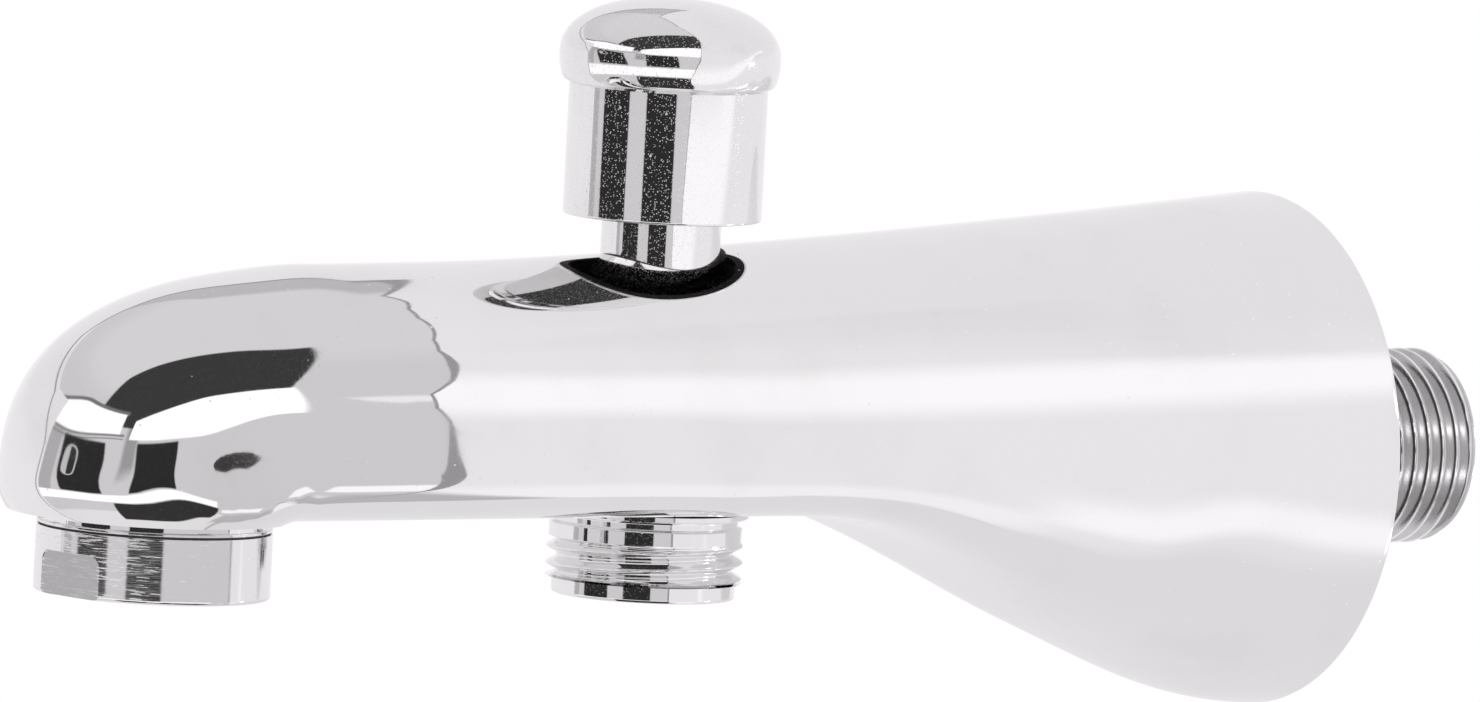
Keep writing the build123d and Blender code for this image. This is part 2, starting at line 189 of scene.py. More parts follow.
def fan_section(place, inset, angles):
    """Section of the nose, tilted about the fan line until it lies level at the tip."""
    x = fan_x + (nose_tip - fan_x) * place
    ahead, above = fan_x - x, top_line(x) - fan_z
    tilt = math.atan2(ahead, above)
    turned = tilt / (math.pi / 2)
    neck_arch = top_line(fan_x) - shoulder_height
    arch = neck_arch + (nose_radius - neck_arch) * turned - cheek_hollow * math.sin(math.pi * turned)
    half_width = neck_half_width + (nose_radius - neck_half_width) * turned
    top = math.hypot(ahead, above)
    y, u = outline(angles, half_width, elbow, top - arch, top, neck_corner)
    drawn_in = inset + edge_inset(fan_z + u * math.cos(tilt)) * clipped(edge_fade * turned)
    y, u = outline(angles, half_width - drawn_in, elbow + inset, top - arch, top - drawn_in, neck_corner)
    return np.column_stack([fan_x - u * math.sin(tilt), y, fan_z + u * math.cos(tilt)])


def neck_sections(start, end, inset, angles):
    steps = max(2, round((end - start) / neck_spacing))
    return [upright_section(start + (end - start) * i / steps, inset, angles) for i in range(steps + 1)]


def end_slope(knots, rows):
    """Slope at the first of three rows, from the parabola through them."""
    first, second = np.diff(knots)
    rise_a, rise_b = (rows[1] - rows[0]) / first, (rows[2] - rows[1]) / second
    return rise_a + (rise_a - rise_b) * first / (first + second)


def smooth_rows(rows, count, extra=()):
    """Many rows on the smooth surface through a few, evenly spaced along it."""
    rows = np.array(rows)
    gaps = np.linalg.norm(np.diff(rows, axis=0), axis=2).mean(axis=1)
    knots = np.concatenate([[0], np.cumsum(gaps)])
    n = len(knots)
    system, known = np.zeros((n, n)), np.zeros_like(rows)
    for i in range(1, n - 1):
        before, after = 1 / gaps[i - 1], 1 / gaps[i]
        system[i, i - 1 : i + 2] = before, 2 * (before + after), after
        known[i] = 3 * ((rows[i] - rows[i - 1]) * before**2 + (rows[i + 1] - rows[i]) * after**2)
    system[0, 0] = system[-1, -1] = 1
    known[0] = end_slope(knots[:3], rows[:3])
    known[-1] = end_slope(knots[-1:-4:-1], rows[-1:-4:-1])
    slopes = np.linalg.solve(system, known.reshape(n, -1)).reshape(rows.shape)
    places = np.union1d(np.linspace(0, knots[-1], count), knots[-1] - np.array(extra))
    span = np.clip(np.searchsorted(knots, places, side="right") - 1, 0, n - 2)
    gap = gaps[span][:, None, None]
    t = ((places - knots[span]) / gaps[span])[:, None, None]
    a, b, p, q = rows[span], rows[span + 1], slopes[span] * gap, slopes[span + 1] * gap
    return a + t * p + t**2 * (3 * (b - a) - 2 * p - q) + t**3 * (2 * (a - b) + p + q)


def even_angles(count):
    return 2 * np.pi * np.arange(count) / count - np.pi / 2


def tube_faces(rows, columns, closed=False):
    """Four-cornered faces of a grid that is joined round, and end to end where closed."""
    last = rows if closed else rows - 1
    i, j = np.meshgrid(np.arange(last), np.arange(columns), indexing="ij")
    ahead, beside = (i + 1) % rows, (j + 1) % columns
    corners = [i * columns + j, i * columns + beside, ahead * columns + beside, ahead * columns + j]
    return np.stack(corners, axis=-1).reshape(-1, 4).tolist()


def closed_tube(grid):
    """Points and faces of a lofted form with both ends closed."""
    rows, columns = grid.shape[:2]
    points = np.vstack([grid.reshape(-1, 3), grid[0].mean(axis=0), grid[-1].mean(axis=0)])
    faces = tube_faces(rows, columns)
    first, last = rows * columns, rows * columns + 1
    for j in range(columns):
        beside = (j + 1) % columns
        faces.append([first, beside, j])
        faces.append([last, (rows - 1) * columns + j, (rows - 1) * columns + beside])
    return points, faces


def mesh_of(name, points, faces):
    """Mesh in metres with its faces turned outward."""
    mesh = bpy.data.meshes.new(name)
    mesh.from_pydata((np.asarray(points) * MM).tolist(), [], faces)
    work = bmesh.new()
    work.from_mesh(mesh)
    bmesh.ops.remove_doubles(work, verts=work.verts, dist=1e-7)
    bmesh.ops.recalc_face_normals(work, faces=work.faces)
    work.to_mesh(mesh)
    work.free()
    return mesh


def thing(name, points, faces):
    made = bpy.data.objects.new(name, mesh_of(name, points, faces))
    bpy.context.scene.collection.objects.link(made)
    return made


def turned(profile, segments=128, x=0.0, lying=False, cut=None):
    """Turned form from a closed ring of (radius, level) points; cut may vary the radius round the axis."""
    profile = np.array(profile, dtype=float)
    angle = even_angles(segments)
    radius = np.repeat(profile[:, :1], segments, axis=1)
    level = np.repeat(profile[:, 1:2], segments, axis=1)
    if cut is not None:
        radius = radius - cut(angle[None, :], level, radius)
    across, beside = radius * np.cos(angle), radius * np.sin(angle)
    grid = np.stack([level, across, beside] if lying else [x + across, beside, level], axis=-1)
    return grid.reshape(-1, 3), tube_faces(len(profile), segments, closed=True)


def rounded(corners, steps=5):
    """Ring of points with each (radius, level, rounding) corner turned into a small arc."""
    ring = []
    for i, (r, z, size) in enumerate(corners):
        here = np.array([r, z])
        before = np.array(corners[i - 1][:2]) - here
        after = np.array(corners[(i + 1) % len(corners)][:2]) - here
        reach_a, reach_b = np.linalg.norm(before), np.linalg.norm(after)
        if size <= 0:
            ring.append(here)
            continue
        before, after = before / reach_a, after / reach_b
        half = math.acos(np.clip(before @ after, -1, 1)) / 2
        back = min(size / math.tan(half), 0.45 * reach_a, 0.45 * reach_b)
        for t in np.linspace(0, 1, steps):
            ring.append(here + before * back * (1 - t) ** 2 + after * back * t**2)
    return held(np.array(ring))


def held(ring, hold=0.05):
    """Ring with a point close to each end of a straight stretch, so that it is shaded straight."""
    full = []
    for here, after in zip(ring, np.roll(ring, -1, axis=0)):
        full.append(here)
        reach = np.linalg.norm(after - here)
        if reach > 8 * hold:
            step = (after - here) / reach * hold
            full += [here + step, after - step]
    return np.array(full)


def apply_cuts(target, cuts):
    """Adds or takes away other forms, then drops them."""
    for tool, operation in cuts:
        change = target.modifiers.new("cut", "BOOLEAN")
        change.operation = operation
        change.solver = "MANIFOLD"
        change.object = tool
    result = target.evaluated_get(bpy.context.evaluated_depsgraph_get())
    mesh = bpy.data.meshes.new_from_object(result)
    mesh.materials.clear()
    target.modifiers.clear()
    old, target.data = target.data, mesh
    bpy.data.meshes.remove(old)
    for tool, _ in cuts:
        bpy.data.objects.remove(tool)


def soften(target, limit=28.0):
    """Smooth shading with crisp edges where faces meet at more than the limit in degrees."""
    target.data.shade_smooth()
    target.data.set_sharp_from_angle(angle=math.radians(limit))


def dress(target, body, node, slot, *finishes):
    """Gives a piece its finishes and puts it in the place of a solid."""
    for finish in finishes:
        target.data.materials.append(finish)
    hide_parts(node)
    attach(target, body)


# Shader sums


class Value:
    """A shader socket that takes part in sums."""

    def __init__(self, shading, socket):
        self.shading = shading
        self.socket = socket

    def sum(self, operation, *others):
        sockets = dict(enumerate((self, *others)))
        return self.shading.node("ShaderNodeMath", {"operation": operation}, sockets)["Value"]

    def turned_sum(self, operation, other):
        """The sum with the two values the other way round."""
        return self.shading.node("ShaderNodeMath", {"operation": operation}, {0: other, 1: self})["Value"]

    def __add__(self, other):
        return self.sum("ADD", other)

    __radd__ = __add__

    def __sub__(self, other):
        return self.sum("SUBTRACT", other)

    def __rsub__(self, other):
        return self.turned_sum("SUBTRACT", other)

    def __mul__(self, other):
        return self.sum("MULTIPLY", other)

    __rmul__ = __mul__

    def __truediv__(self, other):
        return self.sum("DIVIDE", other)

    def __rtruediv__(self, other):
        return self.turned_sum("DIVIDE", other)

    def __pow__(self, other):
        return self.sum("POWER", other)

    def __rpow__(self, other):
        return self.turned_sum("POWER", other)

    def __neg__(self):
        return self * -1

    def rise(self, low, high):
        """0 below low, 1 above high, smooth between."""
        settings = {"interpolation_type": "SMOOTHSTEP"}
        sockets = {"Value": self, "From Min": low, "From Max": high}
        return self.shading.node("ShaderNodeMapRange", settings, sockets)["Result"]

    def fall(self, low, high):
        """1 below low, 0 above high, smooth between."""
        return 1 - self.rise(low, high)

    def within(self, low, high, soft):
        """1 between low and high, with soft edges."""
        return self.rise(low - soft, low + soft) * self.fall(high - soft, high + soft)


class Made:
    """A node just made, whose outputs are read by name."""

    def __init__(self, shading, node):
        self.shading = shading
        self.made = node

    def __getitem__(self, name):
        return Value(self.shading, self.made.outputs[name])


class Shading:
    """The node tree of one finish or of the studio."""

    def __init__(self, owner):
        self.owner = owner
        owner.use_nodes = True
        self.tree = owner.node_tree
        self.tree.nodes.clear()

    def node(self, kind, settings=None, sockets=None):
        """Any node: its type, its settings, which are set first, and the values or links of its sockets."""
        made = self.tree.nodes.new(kind)
        for name, value in (settings or {}).items():
            setattr(made, name, value)
        for name, value in (sockets or {}).items():
            if isinstance(value, Value):
                self.tree.links.new(value.socket, made.inputs[name])
            else:
                made.inputs[name].default_value = value
        return Made(self, made)

    def place(self):
        """Point of the object, in metres."""
        return self.node("ShaderNodeTexCoord")["Object"]

    def parts(self, vector):
        split = self.node("ShaderNodeSeparateXYZ", None, {"Vector": vector})
        return split["X"], split["Y"], split["Z"]

    def joined(self, x, y, z):
        return self.node("ShaderNodeCombineXYZ", None, {"X": x, "Y": y, "Z": z})["Vector"]

    def noise(self, vector, scale, detail=3.0, roughness=0.5):
        sockets = {"Vector": vector, "Scale": scale, "Detail": detail, "Roughness": roughness}
        return self.node("ShaderNodeTexNoise", None, sockets)["Fac"]

    def specks(self, vector, scale, size, share):
        """1 in small round specks strewn evenly over the surface, one in a share of the cells."""
        sockets = {"Vector": vector, "Scale": scale}
        spot = self.node("ShaderNodeTexVoronoi", {"feature": "F1"}, sockets)
        chance = self.parts(spot["Color"])[0]
        return spot["Distance"].fall(size * 0.5, size) * chance.fall(share - 0.01, share + 0.01)

    def tinted(self, light):
        """Light of the tent and the room, which is very slightly pink."""
        sockets = {0: tent_tint, "Scale": light}
        return self.node("ShaderNodeVectorMath", {"operation": "SCALE"}, sockets)["Vector"]

    def mix(self, share, first, second):
        """Mix of two colours."""
        sockets = {"Factor": share, 6: first, 7: second}
        return Value(self, self.node("ShaderNodeMix", {"data_type": "RGBA"}, sockets).made.outputs[2])

    def glow(self, light):
        """A studio surface that gives off light and mirrors none."""
        lit = self.node("ShaderNodeEmission", None, {"Color": self.tinted(light), "Strength": 1.0})
        self.node("ShaderNodeOutputMaterial", None, {"Surface": lit["Emission"]})
        return self.owner

    def bump(self, height, depth):
        """Surface relief; depth is the full height of the relief in metres."""
        sockets = {"Height": height, "Distance": depth, "Strength": 1.0}
        return self.node("ShaderNodeBump", None, sockets)["Normal"]

    def finish(self, **sockets):
        """The finish, from the values of its surface sockets."""
        named = {name.replace("_", " ").title(): value for name, value in sockets.items()}
        surface = self.node("ShaderNodeBsdfPrincipled", None, named)
        self.node("ShaderNodeOutputMaterial", None, {"Surface": surface["BSDF"]})
        return self.owner


def new_finish(name):
    return Shading(bpy.data.materials.new(name))


def grey(level, warm=0.0):
    return (level * (1 + warm), level, level * (1 - warm), 1.0)


def round_axis(shading, x):
    """Turn in radians and distance round an upright axis at x, in metres, and the level."""
    across, beside, level = shading.parts(shading.place())
    across = across - x * MM
    turn = beside.sum("ARCTAN2", across)
    return turn, (across * across + beside * beside) ** 0.5, level


def polished_chrome(name, tint, gloss, ripple, dusty):
    """Bright plate: faint haze, wiping marks, a little dust and the ripple of a polished casting."""
    s = new_finish(name)
    place = s.place()
    haze = s.noise(place, 60.0, 4.0, 0.6).rise(0.45, 0.8)
    wipe = s.noise(s.joined(*[p * k for p, k in zip(s.parts(place), (40.0, 420.0, 420.0))]), 1.0, 3.0, 0.6)
    dust = s.specks(place, 900.0, 0.16, 0.14)
    grime = dusty * s.specks(place, 5600.0, 0.5, 0.36)
    rough = gloss + 0.05 * haze + 0.03 * wipe.rise(0.55, 0.85) + 0.3 * dust + 0.3 * grime
    colour = s.mix(haze, grey(tint), grey(tint * 0.95, 0.004))
    waves = s.noise(place, 90.0, 2.0) + 0.25 * s.noise(place, 320.0, 2.0)
    return s.finish(
        base_color=colour,
        metallic=1 - 0.6 * dust - 0.28 * grime,
        roughness=rough,
        normal=s.bump(waves, ripple),
    )


def brushed_chrome(name, tint, x):
    """Plate of the aerator: turning marks round its axis, scratches beside the flats, painted shade in the
    groove.
    """
    s = new_finish(name)
    turn, reach, level = round_axis(s, x)
    lines = s.noise(s.joined(turn * 0.9, reach * 300, level * 9000), 1.0, 4.0, 0.65)
    streaks = s.noise(s.joined(turn * 5.0, reach * 100, level * 7000), 1.0, 2.0, 0.5)
    beside_flat = ((turn - flat_turn).sum("COSINE") ** 2.0).rise(0.25, 0.6)
    below_groove = level.fall((groove_level - 0.5) * MM, (groove_level - 0.3) * MM)
    on_flat = reach.fall((aerator_radius - 0.2) * MM, (aerator_radius - 0.03) * MM) * below_groove
    scratch = (streaks - 0.13 + 0.13 * beside_flat).rise(0.55, 0.64) * (1 - 0.8 * on_flat)
    groove_low, groove_top = (groove_level - groove_half) * MM, (groove_level + groove_half) * MM
    in_groove = level.within(groove_low, groove_top, 0.01 * MM)
    # Painted shade: the groove under the rim gets a near-black, dull colour for the shade that falls in it.
    painted_groove_shade = reach.fall((aerator_radius - 0.25) * MM, (aerator_radius - 0.09) * MM) * in_groove
    rough = 0.03 + 0.05 * lines + 0.03 * beside_flat + 0.3 * scratch + 0.4 * painted_groove_shade
    plate = s.mix(scratch, grey(tint), grey(tint * 1.1))
    colour = s.mix(painted_groove_shade, plate, grey(0.07, 0.05))
    metal = (1 - 0.45 * scratch) * (1 - painted_groove_shade)
    return s.finish(base_color=colour, metallic=metal, roughness=rough, normal=s.bump(lines + scratch, 3e-6))


def dull_nickel(name, tint):
    """Dull plate on the inlet thread, rubbed bright on the crests and with a painted highlight along them,
    with tool chatter round it.
    """
    s = new_finish(name)
    place = s.place()
    x, y, z = s.parts(place)
    crest = ((y * y + z * z) ** 0.5).rise((pipe_thread - 0.2) * MM, (pipe_thread - 0.06) * MM)
    chatter = s.noise(s.joined(x * 3000, y * 150, z * 150), 1.0, 3.0, 0.6)
    stain = s.noise(place, 220.0, 4.0, 0.6)
    dull = s.mix(stain.rise(0.4, 0.75), grey(tint), grey(tint * 0.84))
    # Pale grey on the crests: partly rubbed plate, partly a painted highlight along each crest line.
    colour = s.mix(crest, dull, grey(0.88))
    rough = 0.16 + 0.06 * chatter + 0.05 * stain
    return s.finish(base_color=colour, metallic=1.0, roughness=rough, normal=s.bump(chatter, 3e-6))


def cast_inside(name, tint, warm):
    """Sand-cast metal, unplated, grainy and dull."""
    s = new_finish(name)
    place = s.place()
    grain = s.noise(place, 1400.0, 5.0, 0.65)
    cloud = s.noise(place, 130.0, 4.0, 0.6)
    colour = s.mix(cloud.rise(0.3, 0.7), grey(tint, warm), grey(tint * 0.62, warm * 1.3))
    rough = 0.45 + 0.25 * grain
    return s.finish(base_color=colour, metallic=0.85, roughness=rough, normal=s.bump(grain, 9e-5))


def turned_brass(name):
    """Brass with turning marks round the diverter's axis, a little tarnished."""
    s = new_finish(name)
    turn, reach, level = round_axis(s, diverter_x)
    lines = s.noise(s.joined(turn * 0.6, reach * 5200, level * 5200), 1.0, 3.0, 0.6)
    tarnish = s.noise(s.place(), 260.0, 4.0, 0.6).rise(0.45, 0.8)
    colour = s.mix(tarnish, (0.8, 0.6, 0.3, 1), (0.5, 0.34, 0.15, 1))
    rough = 0.18 + 0.16 * lines + 0.2 * tarnish
    return s.finish(base_color=colour, metallic=1.0, roughness=rough, normal=s.bump(lines, 6e-6))


def pressed_rubber(name, colour, pale):
    """Moulded rubber or fibre with a pale bloom."""
    s = new_finish(name)
    place = s.place()
    grain = s.noise(place, 2600.0, 3.0, 0.6)
    bloom = s.noise(place, 240.0, 3.0, 0.6).rise(0.5, 0.8)
    shade = s.mix(bloom, colour, pale)
    return s.finish(base_color=shade, roughness=0.55 + 0.25 * grain, normal=s.bump(grain, 2e-5))


def drawn_wire(name, tint):
    """Spring wire with drawing marks and stains."""
    s = new_finish(name)
    place = s.place()
    marks = s.noise(place, 5200.0, 2.0, 0.5)
    stain = s.noise(place, 700.0, 3.0, 0.6)
    colour = s.mix(stain, grey(tint), grey(tint * 0.72, 0.02))
    return s.finish(base_color=colour, metallic=1.0, roughness=0.22 + 0.2 * marks, normal=s.bump(marks, 4e-6))


def woven_wire(name, tint):
    """Fine wire cloth: over and under in a small check, darker where the wires dip, which is painted shade.
    """
    s = new_finish(name)
    x, y, z = s.parts(s.place())
    wire_spacing = 0.7 * MM
    waves = 2 * math.pi / wire_spacing
    over_x, over_y = (x * waves).sum("SINE"), (y * waves).sum("SINE")
    weave = 0.5 + 0.5 * over_x * over_y
    # Painted shade: the colour falls to under half where the weave dips under a crossing wire.
    colour = s.mix(weave.rise(0.25, 0.75), grey(tint * 0.45), grey(tint))
    return s.finish(base_color=colour, metallic=1.0, roughness=0.25 + 0.2 * weave, normal=s.bump(weave, 6e-5))


def moulded_plastic(name, tint):
    """Pale plastic with a little lime."""
    s = new_finish(name)
    place = s.place()
    grain = s.noise(place, 1500.0, 3.0, 0.55)
    lime = s.noise(place, 300.0, 4.0, 0.65).rise(0.5, 0.8)
    colour = s.mix(lime, grey(tint, 0.006), grey(tint * 0.86, 0.03))
    return s.finish(base_color=colour, roughness=0.38 + 0.2 * grain, normal=s.bump(grain, 1.2e-5))


chrome_body = polished_chrome("chrome_body", 0.83, 0.02, 4e-6, 0.1)
chrome_knob = polished_chrome("chrome_knob", 0.83, 0.02, 0.6e-6, 1.0)
chrome_outlet = polished_chrome("chrome_outlet", 0.82, 0.02, 0.6e-6, 0.3)
chrome_aerator = brushed_chrome("chrome_aerator", 0.8, outlet_x)
nickel_thread = dull_nickel("nickel_thread", 0.6)
raw_casting = cast_inside("raw_casting", 0.42, 0.06)
# Near-black copy of the raw inside, for the knob's hollow and bore: painted shade.
knob_hollow_painted_shade = cast_inside("knob_hollow_painted_shade", 0.035, 0.03)
brass = turned_brass("brass_turned")
black_rubber = pressed_rubber("rubber_seal", (0.02, 0.02, 0.021, 1), (0.045, 0.044, 0.043, 1))
valve_rubber = pressed_rubber("rubber_valve", (0.035, 0.03, 0.03, 1), (0.07, 0.06, 0.06, 1))
red_fibre = pressed_rubber("fibre_seal", (0.4, 0.1, 0.06, 1), (0.55, 0.2, 0.13, 1))
spring_steel = drawn_wire("spring_steel", 0.6)
wire_cloth = woven_wire("mesh_steel", 0.66)
white_plastic = moulded_plastic("insert_plastic", 0.82)

# Solids that stay as they are get their finishes
kept = [
    (red_fibre, "inlet_seal"),
    (black_rubber, "hose_seal", "bonnet_seat_seal", "bonnet_top_seal", "spindle_seal", "aerator_washer"),
    (brass, "diverter_bonnet", "valve_plug", "diverter_spindle", "plug_nut"),
    (valve_rubber, "plug_top_washer", "plug_bottom_washer"),
    (wire_cloth, "aerator_strainer", "aerator_screen"),
    (white_plastic, "aerator_cartridge"),
]
for finish, *nodes in kept:
    for node in nodes:
        materials = frame["nodes"][node].data.materials
        materials.clear()
        materials.append(finish)


# Casting


def capped(name, ring, segments, **place):
    """Cutting form turned from an open ring of (radius, level) points, with flat ends."""
    points, faces = turned(ring, segments, **place)
    last_row = (len(ring) - 1) * segments
    ends = [list(range(segments)), list(range(last_row, last_row + segments))]
    return thing(name, points, faces[:last_row] + ends)


def upright_tool(name, x, *steps):
    """Turned cutting form from (radius, low, high) steps that follow each other upward."""
    ring = [(radius, level) for radius, low, high in steps for level in (low, high)]
    return capped(name, ring, tool_segments, x=x)


def lying_tool(name, radius, start, end, segments=tool_segments):
    """Cutting form along the inlet's axis, round or with a few flat sides."""
    return capped(name, [(radius, start), (radius, end)], segments, lying=True)


def block_tool(name, low, high):
    made = bpy.data.meshes.new(name)
    work = bmesh.new()
    bmesh.ops.create_cube(work, size=1.0)
    size, middle = (np.array(high) - low) * MM, (np.array(high) + low) / 2 * MM
    work.transform(Matrix.Translation(middle) @ Matrix.Diagonal((*size, 1)))
    work.to_mesh(made)
    work.free()
    tool = bpy.data.objects.new(name, made)
    bpy.context.scene.collection.objects.link(tool)
    return tool


def room_tool(name, sections, count):
    return thing(name, *closed_tube(smooth_rows(sections, count)))


def outer_grid(around, along):
    """Rows of points on the outer skin, nose to wall, with the edge of the base rounded."""
    angles = even_angles(around)
    sections = [fan_section(place, 0.0, angles) for place in nose_places]
    sections += neck_sections(fan_x, 0.0, 0.0, angles)[1:]
    close_rows = base_edge * (1 - np.cos(np.linspace(0, np.pi / 2, 7)))
    grid = smooth_rows(sections, along, close_rows)
    past = np.clip(grid[..., 0] + base_edge, 0, base_edge)
    limit = base_radius - base_edge + np.sqrt(base_edge**2 - past**2)
    size = np.hypot(grid[..., 1], grid[..., 2])
    shrink = np.where(past > 0, np.minimum(1, limit / size), 1)
    grid[..., 1:] *= shrink[..., None]
    return grid


def grid_normals(grid):
    """Outward normals of the skin at its points."""
    down = np.gradient(grid, axis=0)
    round_ = np.roll(grid, -1, axis=1) - np.roll(grid, 1, axis=1)
    normal = np.cross(round_, down)
    normal /= np.linalg.norm(normal, axis=2, keepdims=True) + 1e-12
    outward = np.sign((normal * (grid - grid.mean(axis=1, keepdims=True))).sum(axis=2).mean())
    return normal * outward


def polish(target, grid):
    """Marks the plated faces and gives them the normals of the smooth skin."""
    rows, columns = grid.shape[:2]
    faces = tube_faces(rows, columns)
    points, normals = grid.reshape(-1, 3) * MM, grid_normals(grid).reshape(-1, 3)
    skin = BVHTree.FromPolygons(points.tolist(), faces)
    mesh = target.data
    near = 0.06 * MM
    soften(target)
    custom = np.zeros((len(mesh.loops), 3))
    seen = {}
    for polygon in mesh.polygons:
        centre = polygon.center
        on_skin = skin.find_nearest(centre)[3] < near
        under = centre.z < (underside + 0.01) * MM and polygon.normal.z < -0.5
        pad = centre.z < (underside - 0.01) * MM and centre.x < fan_x * MM
        rim = centre.x > -0.02 * MM
        polygon.material_index = 0 if on_skin or under or pad or rim else 1
        if not on_skin:
            continue
        for loop in polygon.loop_indices:
            vertex = mesh.loops[loop].vertex_index
            if vertex not in seen:
                point, _, face, _ = skin.find_nearest(mesh.vertices[vertex].co)
                seen[vertex] = skin_normal(np.array(point), faces[face], points, normals)
            custom[loop] = seen[vertex]
    mesh.normals_split_custom_set(custom.tolist())


def skin_normal(point, corners, points, normals):
    """Normal of the smooth skin at a point of one of its faces."""
    weight = 1 / (((points[corners] - point) ** 2).sum(axis=1) + 1e-12)
    normal = weight @ normals[corners]
    return normal / np.linalg.norm(normal)


def spout_casting():
    """The hollow casting, with its plated skin and raw inside."""
    grid = outer_grid(200, 320)
    casting = thing("spout_casting", *closed_tube(grid))
    coarse, fine = even_angles(72), even_angles(144)
    wide = base_radius + over
    past_nose, below_nose = nose_tip - 2 * over, fan_z - 2 * over
    front_end = diverter_x - shaft_bore - wall
    floor_edge = outlet_x + aerator_thread + wall
    wet_from = diverter_x + shaft_bore + wall
    wet_to = -dry_depth - wall
    neck_top = top_line(diverter_x) + 4 * over
    nose_slab = block_tool("nose_slab", (past_nose, -wide, below_nose), (fan_x, wide, underside))
    seat = upright_tool("seat", outlet_x, (aerator_seat_radius, aerator_face, underside + wall))
    front_sections = [fan_section(place, wall, coarse) for place in nose_places]
    front_sections += neck_sections(fan_x, front_end, wall, coarse)[1:]
    front = room_tool("front", front_sections, 60)
    front_floor = block_tool("front_floor", (past_nose, -wide, below_nose), (floor_edge, wide, ledge_top))
    apply_cuts(front, [(front_floor, "DIFFERENCE")])
    aerator_bore = upright_tool(
        "aerator_bore",
        outlet_x,
        (aerator_thread, aerator_face - over, ledge_low),
        (ledge_bore, ledge_low, ledge_top + over),
    )
    shaft = upright_tool(
        "shaft",
        diverter_x,
        (hose_seal_radius, underside - over, underside + hose_seal_height),
        (spigot_radius, underside + hose_seal_height, underside + spigot_height),
        (valve_chamber, underside + spigot_height, room_top),
        (shaft_bore, room_top, neck_top),
    )
    wet = room_tool("wet", neck_sections(wet_from, wet_to, wall, coarse), 24)
    feed = lying_tool("feed", feed_bore, wet_to - over, socket_floor + over)
    socket = lying_tool("socket", nipple_screw, socket_floor, -boss_recess + over)
    dry = room_tool("dry", neck_sections(-dry_depth, over, wall, fine), 30)
    boss = lying_tool("boss", boss_radius, -dry_depth - over, -boss_recess)
    apply_cuts(dry, [(boss, "DIFFERENCE")])
    cuts = [(nose_slab, "DIFFERENCE"), (seat, "UNION")]
    cuts += [(tool, "DIFFERENCE") for tool in (front, aerator_bore, shaft, wet, dry, feed, socket)]
    apply_cuts(casting, cuts)
    polish(casting, grid)
    dress(casting, "spout", "spout_body", "chrome_body", chrome_body, raw_casting)


# Threaded pieces


def thread_cut(first, last, crest, sharp):
    """Depth below the crest of a thread; each end is a level, the length of its cone and its plain radius."""
    (low, run_low, plain_low), (high, run_high, plain_high) = first, last

    def cut(angle, level, radius):
        phase = (level / thread_pitch - angle / (2 * np.pi)) % 1.0
        round_groove = 0.5 - 0.5 * np.cos(2 * np.pi * phase)
        wide_groove = 1 - np.abs(2 * phase - 1) ** 1.5
        groove = thread_depth * (round_groove + (wide_groove - round_groove) * sharp)
        below, above = np.clip((low - level) / run_low, 0, 1), np.clip((level - high) / run_high, 0, 1)
        cone = (crest - plain_low) * below + (crest - plain_high) * above
        depth = np.maximum(groove * (1 - below) * (1 - above), cone)
        return np.where(np.abs(radius - crest) < 0.02, depth, 0)

    return cut


def thread_levels(start, end, per_turn=36):
    """Levels of the rows of points along a thread."""
    count = int(abs(end - start) / thread_pitch * per_turn)
    return np.linspace(start, end, count + 1)


def hose_outlet():
    """Threaded outlet with a thin collar, a relief, a thread with a plain end, and a valve seat inside."""
    top, end = hose_high[2], hose_low[2]
    spigot, collar, bore, chamber = spigot_radius - screw_gap, 10.9, 4.9, 7.4
    neck, shoulder, tail, spigot_tip = 9.8, 10.25, 9.72, 8.2
    collar_bottom = underside - 0.6
    shoulder_top = collar_bottom - 1.05
    thread_top = collar_bottom - 2.55
    thread_low = end + 1.75
    seat_level = underside - 2.55
    runout = 0.5
    ring = [(spigot, top - 0.3), (spigot, underside), (collar, underside), (collar, underside - 0.12)]
    ring += [(collar, collar_bottom + 0.12), (collar - 0.12, collar_bottom)]
    ring += [(neck + 0.25, collar_bottom), (neck + 0.07, collar_bottom - 0.08), (neck, collar_bottom - 0.25)]
    ring += [(neck, shoulder_top + 0.2), (neck + 0.1, shoulder_top + 0.08), (shoulder - 0.1, shoulder_top)]
    ring += [(shoulder, shoulder_top - 0.1), (shoulder, thread_top + 0.01)]
    ring += [(pipe_thread, level) for level in thread_levels(thread_top, thread_low)]
    ring += [(tail, thread_low - 0.01), (tail, end + 0.3), (tail - 0.06, end + 0.1), (tail - 0.25, end)]
    ring += [(bore + 0.3, end), (bore, end + 0.3), (bore, seat_level), (chamber, seat_level), (chamber, top)]
    ring.append((spigot_tip, top))
    first, last = (thread_low + runout, runout, tail), (thread_top - runout, runout, shoulder)
    cut = thread_cut(first, last, pipe_thread, 0.25)
    outlet = thing("hose_outlet", *turned(held(np.array(ring)), 192, diverter_x, cut=cut))
    soften(outlet, 40)
    dress(outlet, "spout", "hose_nipple", "chrome_outlet", chrome_outlet)


